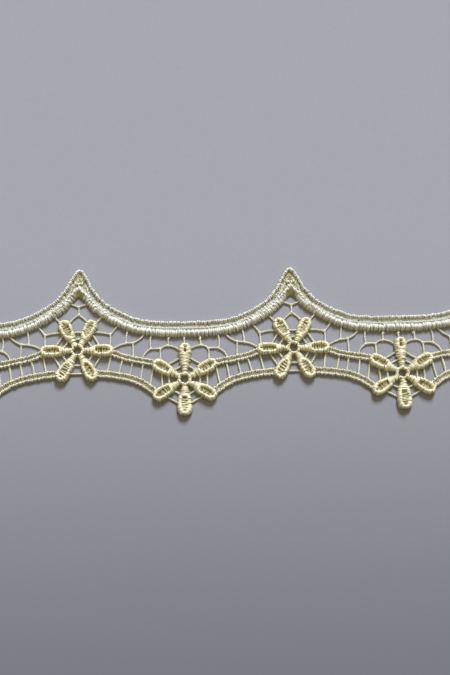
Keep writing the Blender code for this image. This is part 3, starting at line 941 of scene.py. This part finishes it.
def thread(name, light, deep, roughness, specular):
    """Glossy embroidery thread: the tone runs from the shaded padding, 0, to a bright stitch, 1."""
    material = bpy.data.materials.new(name)
    material.use_nodes = True
    tree = material.node_tree
    nodes, links = tree.nodes, tree.links
    shader = nodes["Principled BSDF"]
    place = nodes.new("ShaderNodeTexCoord").outputs["Object"]
    tone = nodes.new("ShaderNodeVertexColor")
    tone.layer_name = "tone"
    blotch = noise(tree, place, 700.0, 4.0)
    fibre = noise(tree, place, 6500.0)
    share = nodes.new("ShaderNodeMath")
    share.operation = "MULTIPLY"
    share.use_clamp = True
    links.new(tone.outputs["Color"], share.inputs[0])
    links.new(mapped(tree, blotch, (0.3, 0.7), (0.82, 1.12)), share.inputs[1])
    # deep is the colour of painted shade and light that of a lit stitch; the tone mixes them
    links.new(blend(tree, share.outputs["Value"], deep, light), shader.inputs["Base Color"])
    gloss = mapped(tree, fibre, to_range=(roughness - 0.1, roughness + 0.12))
    links.new(gloss, shader.inputs["Roughness"])
    raised = nodes.new("ShaderNodeBump")
    raised.inputs["Strength"].default_value = 0.5
    raised.inputs["Distance"].default_value = 0.00004
    links.new(fibre, raised.inputs["Height"])
    links.new(raised.outputs["Normal"], shader.inputs["Normal"])
    shader.inputs["Specular IOR Level"].default_value = specular
    return material


def floor_material():
    """Plain pale paper with hardly any grain, darkened towards the front by painted shade."""
    material = bpy.data.materials.new("pale_floor")
    material.use_nodes = True
    tree = material.node_tree
    shader = tree.nodes["Principled BSDF"]
    place = tree.nodes.new("ShaderNodeTexCoord").outputs["Object"]
    paper = blend(tree, noise(tree, place, 900.0), (0.340, 0.337, 0.366), (0.365, 0.362, 0.392))
    split = tree.nodes.new("ShaderNodeSeparateXYZ")
    tree.links.new(place, split.inputs["Vector"])
    # Painted shade: the floor's colour falls to a darker grey towards the front
    front = mapped(tree, split.outputs["Y"], (0.029, -0.09), smooth=True)
    tree.links.new(blend(tree, front, paper, (0.17, 0.17, 0.195)), shader.inputs["Base Color"])
    shader.inputs["Roughness"].default_value = 1.0
    shader.inputs["Specular IOR Level"].default_value = 0.15
    return material


# The scene

def add_pieces():
    heading, ladder, net, flowers = Stitching(), Stitching(), Stitching(), Stitching()
    add_heading(heading, net, flowers)
    for peak in PEAKS:
        for way in (-1, 1):
            add_half_repeat(ladder, net, lambda u, v: np.array((peak + way * u, v)))
        valley = peak + REPEAT / 2
        add_stems(net, peak, valley)
        add_flower(flowers, net, (peak, HIGH_FLOWER_V), HIGH_PETALS)
        add_flower(flowers, net, (valley, LOW_FLOWER_V), LOW_PETALS)
    # Each thread's second colour is its painted shade
    petal_thread = thread("petal_thread", (0.99, 0.92, 0.64), (0.29, 0.27, 0.095), 0.28, 1.0)
    cord_thread = thread("cord_thread", (0.90, 0.88, 0.78), (0.43, 0.43, 0.35), 0.30, 1.0)
    net_thread = thread("net_thread", (0.94, 0.895, 0.71), (0.36, 0.34, 0.22), 0.36, 0.8)
    ground_thread = thread("ground_thread", (0.80, 0.77, 0.60), (0.34, 0.32, 0.19), 0.6, 0.5)
    pieces = [
        heading.piece("heading_stitches", cord_thread),
        ladder.piece("ladder_stitches", net_thread),
        net.piece("net_threads", net_thread),
        flowers.piece("flower_stitches", petal_thread),
    ]
    return ground_piece("ground_layer", ground_thread), pieces


def add_floor():
    mesh = bpy.data.meshes.new("floor")
    corners = [(-FLOOR_HALF, -FLOOR_HALF, 0), (FLOOR_HALF, -FLOOR_HALF, 0)]
    corners += [(FLOOR_HALF, FLOOR_HALF, 0), (-FLOOR_HALF, FLOOR_HALF, 0)]
    mesh.from_pydata(corners, [], [[0, 1, 2, 3]])
    floor = bpy.data.objects.new("floor", mesh)
    bpy.context.scene.collection.objects.link(floor)
    mesh.materials.append(floor_material())
    return floor


def add_sun(name, direction, angle, strength, colour):
    """A soft even light that shines from the given direction."""
    light = bpy.data.lights.new(name, "SUN")
    light.angle = angle
    light.energy = strength
    light.color = colour
    lamp = bpy.data.objects.new(name, light)
    lamp.rotation_euler = Vector(direction).to_track_quat("Z", "Y").to_euler()
    bpy.context.scene.collection.objects.link(lamp)


def add_studio():
    """Soft warm light from all round above a plain grey band behind the floor's edge."""
    world = bpy.data.worlds.new("studio")
    bpy.context.scene.world = world
    world.use_nodes = True
    tree = world.node_tree
    place = tree.nodes.new("ShaderNodeTexCoord")
    split = tree.nodes.new("ShaderNodeSeparateXYZ")
    tree.links.new(place.outputs["Generated"], split.inputs["Vector"])
    rise = mapped(tree, split.outputs["Z"], (0.14, 0.30), smooth=True)
    background = tree.nodes["Background"]
    tree.links.new(blend(tree, rise, (0.90, 0.89, 0.95), (1.0, 0.87, 0.55)), background.inputs["Color"])
    background.inputs["Strength"].default_value = 0.40


def add_camera():
    camera = bpy.data.cameras.new("camera")
    camera.lens = 42.667
    camera.sensor_width = 36.0
    camera.clip_start = 0.01
    holder = bpy.data.objects.new("camera", camera)
    back = -CAMERA_FORWARD.normalized()
    right = CAMERA_UP.cross(back).normalized()
    up = back.cross(right)
    turn = Matrix((right, up, back)).transposed().to_4x4()
    holder.matrix_world = Matrix.Translation(CAMERA_PLACE) @ turn
    bpy.context.scene.collection.objects.link(holder)
    bpy.context.scene.camera = holder


ground, stitches = add_pieces()
floor = add_floor()
add_sun("window", (0.16, 0.78, 0.61), radians(18), 4.6, (0.773, 0.847, 1.0))
add_studio()
bpy.context.scene.view_settings.view_transform = "Standard"
add_camera()
